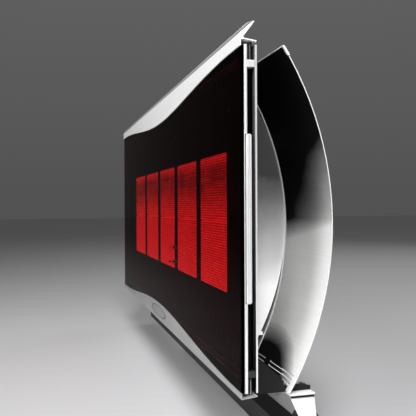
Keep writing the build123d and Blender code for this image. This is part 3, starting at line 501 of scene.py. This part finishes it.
def glowing_ceramic():
    """Perforated ceramic plaques, red hot: hottest at the bottom, dull and banded near the top."""
    graph = Graph("glowing_ceramic")
    low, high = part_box("burner_tiles_1")
    rise = graph.span(graph.axes()["Z"], low.z, high.z)
    solid = plaque_holes(graph)
    patches = graph.noise(26.0, detail=3.0)
    streaks = graph.noise(1.0, stretch=(14.0, 14.0, 170.0))
    speckle = graph.noise(1.0, stretch=(150.0, 150.0, 330.0), roughness=0.6)
    dull = graph.times(graph.span(rise, 0.58, 0.80), graph.span(rise, 0.99, 0.90))
    spread = graph.span(graph.plus(patches, streaks), 0.75, 1.2, 1.0, 0.55)
    hole_depth = graph.plus(graph.times(dull, 0.15), 0.85)
    heat = graph.times(
        graph.minus(1.0, graph.times(dull, spread, 0.68)),
        graph.minus(1.0, graph.times(graph.minus(1.0, solid), hole_depth)),
        graph.span(patches, 0.3, 0.7, 0.9, 1.06),
        graph.span(graph.axes()["X"], -0.45, 0.45, 1.25, 1.0),
        graph.span(speckle, 0.3, 0.7, 0.66, 1.28),
        graph.span(rise, 0.05, 0.62, 1.06, 0.84),
    )
    graph.set(
        Base_Color=(0.25, 0.05, 0.04),
        Roughness=0.9,
        Emission_Color=graph.mix(graph.span(heat, 0.12, 1.25), dull_red, bright_red),
        Emission_Strength=3.4,
    )
    graph.bump(solid, 0.0004)
    return graph


def red_hot(graph):
    """Lets a part of the spark igniter glow where it stands in front of the middle tiles."""
    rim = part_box("burner_tiles_3")[1].x
    heat = graph.span(graph.axes()["X"], rim - 0.002, rim + 0.002, 1.0, 0.0)
    shade = graph.span(graph.noise(120.0), 0.3, 0.7, 0.75, 1.0)
    glow = graph.mix(graph.times(heat, shade), grey(0.0), bright_red)
    graph.set(Emission_Color=glow, Emission_Strength=1.9)
    return graph


def fibre():
    """White ceramic fibre rope and board."""
    graph = Graph("ceramic_fibre")
    fuzz = graph.noise(600.0, detail=4.0)
    shade = graph.mix(graph.span(fuzz, 0.3, 0.7), (0.42, 0.40, 0.36), (0.68, 0.66, 0.61))
    graph.set(Base_Color=shade, Roughness=0.95)
    graph.bump(fuzz, 0.0004)
    return graph


def pale_floor():
    """Matt studio floor, so pale and even that it stays in the background."""
    graph = Graph("studio_floor")
    graph.set(Base_Color=graph.mix(graph.noise(0.8), (0.50, 0.50, 0.51), (0.54, 0.54, 0.55)), Roughness=0.9)
    return graph


# The finish of each material slot, and the pieces of the frame that have one of their own
looks = {
    "black_glass": dark_glass(),
    "fibre_gasket": fibre(),
    "bright_rail": channel_rail(),
    "white_stainless": brushed_metal(
        "pale_stainless", (0.86, 0.86, 0.85), (0.76, 0.76, 0.75), 0.42, along, metallic=0.25
    ),
    "folded_stainless": folded_trim(),
    "lug_stainless": lug_steel(),
    "bridge_metal": bridge_metal(),
    "shell_stainless": shell_with_painted_shade(),
    "cap_steel": cap_with_painted_shade(),
    "grey_stainless": trim_with_oval(),
    "brushed_steel": brushed_metal(
        "brushed_steel", (0.72, 0.72, 0.71), (0.56, 0.56, 0.555), 0.34, along, metallic=0.85
    ),
    "sheet_steel": brushed_metal(
        "galvanised_sheet", (0.50, 0.50, 0.49), (0.36, 0.36, 0.355), 0.42, coarse_grain, blotch=0.7
    ),
    "white_ceramic": red_hot(painted("white_ceramic", (0.72, 0.70, 0.65), 0.35, speckle=0.05)),
    "hot_wire": red_hot(brushed_metal("hot_wire", grey(0.6), grey(0.42), 0.3, turned)),
    "black_enamel": painted("black_enamel", (0.006, 0.006, 0.0065), 0.38),
    "ceramic": glowing_ceramic(),
    "aluminised_steel": brushed_metal(
        "aluminised_steel", (0.62, 0.62, 0.61), (0.40, 0.40, 0.395), 0.45, fine_grain, blotch=0.7
    ),
    "pipe_aluminium": brushed_metal("drawn_aluminium", grey(0.72), grey(0.55), 0.34, upright),
    "manifold_steel": brushed_metal("drawn_steel", (0.5, 0.5, 0.49), (0.34, 0.34, 0.33), 0.4, along),
    "brass": brushed_metal(
        "machined_brass", (0.78, 0.56, 0.22), (0.6, 0.4, 0.14), 0.28, (400.0, 400.0, 60.0)
    ),
    "cast_valve": brushed_metal(
        "cast_aluminium", grey(0.6), grey(0.42), 0.5, (350.0, 350.0, 350.0), grain=4.0, blotch=0.6
    ),
    "coil_black": painted("coil_resin", (0.015, 0.015, 0.017), 0.5),
    "plain_steel": brushed_metal("turned_steel", grey(0.6), grey(0.42), 0.3, turned),
    "zinc_screw": brushed_metal(
        "zinc_plate", (0.55, 0.55, 0.53), (0.38, 0.38, 0.36), 0.33, fine_grain, blotch=0.5
    ),
    # Painted shade: near-black zinc for screws that sit in shade
    "shade_dark_zinc": brushed_metal("shade_dark_zinc", grey(0.16), grey(0.05), 0.3, fine_grain, blotch=0.5),
    "case_plastic": painted("case_plastic", grey(0.02), 0.5, speckle=0.3),
}
own_looks = {
    "top_trim": "folded_stainless",
    "bottom_trim": "grey_stainless",
    "outer_shell": "shell_stainless",
    "rail_bridges": "bridge_metal",
    "electrode_wires": "hot_wire",
    "end_cap_right": "cap_steel",
    "end_cap_left": "cap_steel",
    "tilt_lug_right": "lug_stainless",
    "tilt_lug_left": "lug_stainless",
}


def dress_nodes():
    """Gives every fixed node the material of its slot, or one of its own."""
    for part in frame["record"]["subparts"]:
        node = nodes[part["node"]]
        node.data.materials.clear()
        look = own_looks.get(part["node"], part["material_slot"])
        node.data.materials.append(looks[look].material)


def add_piece(name, mesh_maker, look, body, slot, *replaced):
    """Adds one detailed mesh that rides on a body and may stand for fixed nodes."""
    mesh = bmesh.new()
    mesh_maker(mesh)
    bmesh.ops.recalc_face_normals(mesh, faces=mesh.faces)
    data = bpy.data.meshes.new(name)
    mesh.to_mesh(data)
    mesh.free()
    data.materials.append(looks[look].material)
    piece = bpy.data.objects.new(name, data)
    scene.collection.objects.link(piece)
    for face in data.polygons:
        face.use_smooth = True
    data.set_sharp_from_angle(angle=math.radians(sharp_angle))
    if replaced:
        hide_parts(*replaced)
    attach(piece, body)
    return piece


def loose_boxes(node):
    """The lowest and highest corner of each separate solid of a node."""
    mesh = bmesh.new()
    mesh.from_mesh(nodes[node].data)
    bmesh.ops.remove_doubles(mesh, verts=mesh.verts, dist=1e-6)
    left = set(mesh.verts)
    boxes = []
    while left:
        group, edge = set(), [left.pop()]
        while edge:
            vert = edge.pop()
            group.add(vert)
            for link in vert.link_edges:
                other = link.other_vert(vert)
                if other in left:
                    left.discard(other)
                    edge.append(other)
        corners = [
            Vector([pick(vert.co[axis] for vert in group) for axis in range(3)]) for pick in (min, max)
        ]
        boxes.append(corners)
    mesh.free()
    return boxes


def join_loops(mesh, loops):
    """Skins a row of loops that have as many points each, and closes the first and the last."""
    for one, two in zip(loops, loops[1:]):
        for n in range(len(one)):
            mesh.faces.new((one[n - 1], one[n], two[n], two[n - 1]))
    mesh.faces.new(loops[0])
    mesh.faces.new(list(reversed(loops[-1])))


def lathe(mesh, centre, rings, axis, segments=36):
    """Turns rings of (radius, height, six-sided, rise in one turn) about an axis into a closed skin."""
    turn = Vector((0, 0, 1)).rotation_difference(Vector(axis)).to_matrix()
    sixth = math.pi / 3
    loops = []
    for radius, height, flat, rise in rings:
        loop = []
        for n in range(segments):
            angle = 2 * math.pi * n / segments
            reach = radius
            if flat:
                reach *= math.cos(sixth / 2) / math.cos((angle + sixth / 2) % sixth - sixth / 2)
            spot = Vector((reach * math.cos(angle), reach * math.sin(angle), height + rise * n / segments))
            loop.append(mesh.verts.new(Vector(centre) + turn @ spot))
        loops.append(loop)
    join_loops(mesh, loops)


def screw_rings(head_radius, length):
    """Rings of a domed screw with a six-sided recess and a rolled thread, from its head down."""
    socket = 0.45 * head_radius
    rings = [
        (socket * 0.9, dome_high - screw_recess, True, 0),
        (socket, dome_high - 0.0001, True, 0),
        (socket + 0.0003, dome_high, False, 0),
        (0.75 * head_radius, dome_high - 0.0002, False, 0),
        (0.93 * head_radius, 0.6 * dome_high, False, 0),
        (head_radius, 0.3 * dome_high, False, 0),
        (head_radius, 0.0, False, 0),
        (shank_radius, 0.0, False, 0),
    ]
    drop = thread_pitch
    while drop < length - 2 * thread_pitch:
        rings.append((shank_radius, -drop, False, -thread_pitch))
        rings.append((shank_radius - thread_depth, -drop - thread_pitch / 2, False, -thread_pitch))
        drop += thread_pitch
    rings.append((shank_radius - 2 * thread_depth, -length, False, 0))
    return rings


def corner_screws(mesh):
    """The long screws that hold the trims' flanges, with thread and recess."""
    for low, high in loose_boxes("corner_screws"):
        way = 1 if low.z > panel_middle else -1
        middle = (low + high) / 2
        seat = (high.z if way > 0 else low.z) - way * dome_high
        rings = screw_rings((high.x - low.x) / 2, high.z - low.z - dome_high)
        lathe(mesh, (middle.x, middle.y, seat), rings, (0, 0, way))


def shell_back(height, inset=0.0):
    """Where the outer shell's face lies along Y, at a height from the panel's middle."""
    half = shell_centre - shell_bottom
    rise = shell_crown - shell_edge
    radius = (half * half + rise * rise) / (2 * rise)
    bow = math.sqrt((radius - inset) ** 2 - (height - shell_centre) ** 2)
    return glass_front + shell_crown - radius + bow


def bead(mesh):
    """A rolled bead along the top edge of the outer shell."""
    back = shell_back(shell_top, shell_sheet / 2)
    level = panel_middle + shell_top - 0.3 * bead_radius
    turns = [2 * math.pi * n / bead_sides for n in range(bead_sides)]
    ends = []
    for x in (bead_inset - shell_end, shell_end - bead_inset):
        spots = [(x, back + bead_radius * math.cos(t), level + bead_radius * math.sin(t)) for t in turns]
        ends.append([mesh.verts.new(spot) for spot in spots])
    join_loops(mesh, ends)


def corner_clips(mesh):
    """Folded clips over the shell's upper corners, round the edge of its sheet."""
    for way in (-1, 1):
        outer = way * (shell_end + clip_sheet)
        inner = way * (shell_end - clip_width)
        rows = []
        for n in range(clip_steps + 1):
            height = shell_top - clip_height * n / clip_steps
            sheet = clip_sheet * (1.0 if 0 < n < clip_steps else 0.6)
            front = shell_back(height, shell_sheet) - sheet
            rear = shell_back(height) + sheet
            corners = ((inner, front), (outer, front), (outer, rear), (inner, rear))
            rows.append([mesh.verts.new((x, y, panel_middle + height)) for x, y in corners])
        join_loops(mesh, rows)


def add_details():
    """The small parts that the fixed frame only holds in plain form."""
    # The corner screws take the near-black zinc as painted shade
    add_piece("corner_screw_threads", corner_screws, "shade_dark_zinc", "head", "zinc_screw", "corner_screws")
    add_piece("shell_top_bead", bead, "white_stainless", "head", "satin_stainless")
    add_piece("shell_corner_clips", corner_clips, "white_stainless", "head", "satin_stainless")


def add_floor():
    """A wide pale floor just under the heater's bracket."""
    mesh = bpy.data.meshes.new("studio_floor")
    level = cad_box[0][2] - floor_gap
    corners = [(x * floor_reach, y * floor_reach, level) for x, y in ((-1, -1), (1, -1), (1, 1), (-1, 1))]
    mesh.from_pydata(corners, [], [(0, 1, 2, 3)])
    mesh.materials.append(pale_floor().material)
    floor = bpy.data.objects.new("studio_floor", mesh)
    scene.collection.objects.link(floor)


def add_lamps():
    """Soft gridded lamps in front, to the right and behind."""
    for name, (place, aim, side, power, spread) in lamps.items():
        data = bpy.data.lights.new(name, "AREA")
        data.size = side
        data.energy = power
        data.spread = math.radians(spread)
        lamp = bpy.data.objects.new(name, data)
        lamp.location = place
        lamp.rotation_euler = (Vector(aim) - Vector(place)).to_track_quat("-Z", "Y").to_euler()
        scene.collection.objects.link(lamp)


def add_room():
    """A dim grey room, a little lighter towards its top."""
    world = bpy.data.worlds.new("studio")
    world.use_nodes = True
    scene.world = world
    tree = world.node_tree
    place = tree.nodes.new("ShaderNodeTexCoord")
    split = tree.nodes.new("ShaderNodeSeparateXYZ")
    fade = tree.nodes.new("ShaderNodeMapRange")
    fade.inputs["From Max"].default_value = room_fade_top
    fade.inputs["To Min"].default_value = room_grey_low
    fade.inputs["To Max"].default_value = room_grey_high
    tree.links.new(place.outputs["Generated"], split.inputs[0])
    tree.links.new(split.outputs["Z"], fade.inputs["Value"])
    tree.links.new(fade.outputs[0], tree.nodes["Background"].inputs["Color"])


add_camera()
add_floor()
add_lamps()
add_room()
dress_nodes()
add_details()

scene.view_settings.view_transform = "Standard"
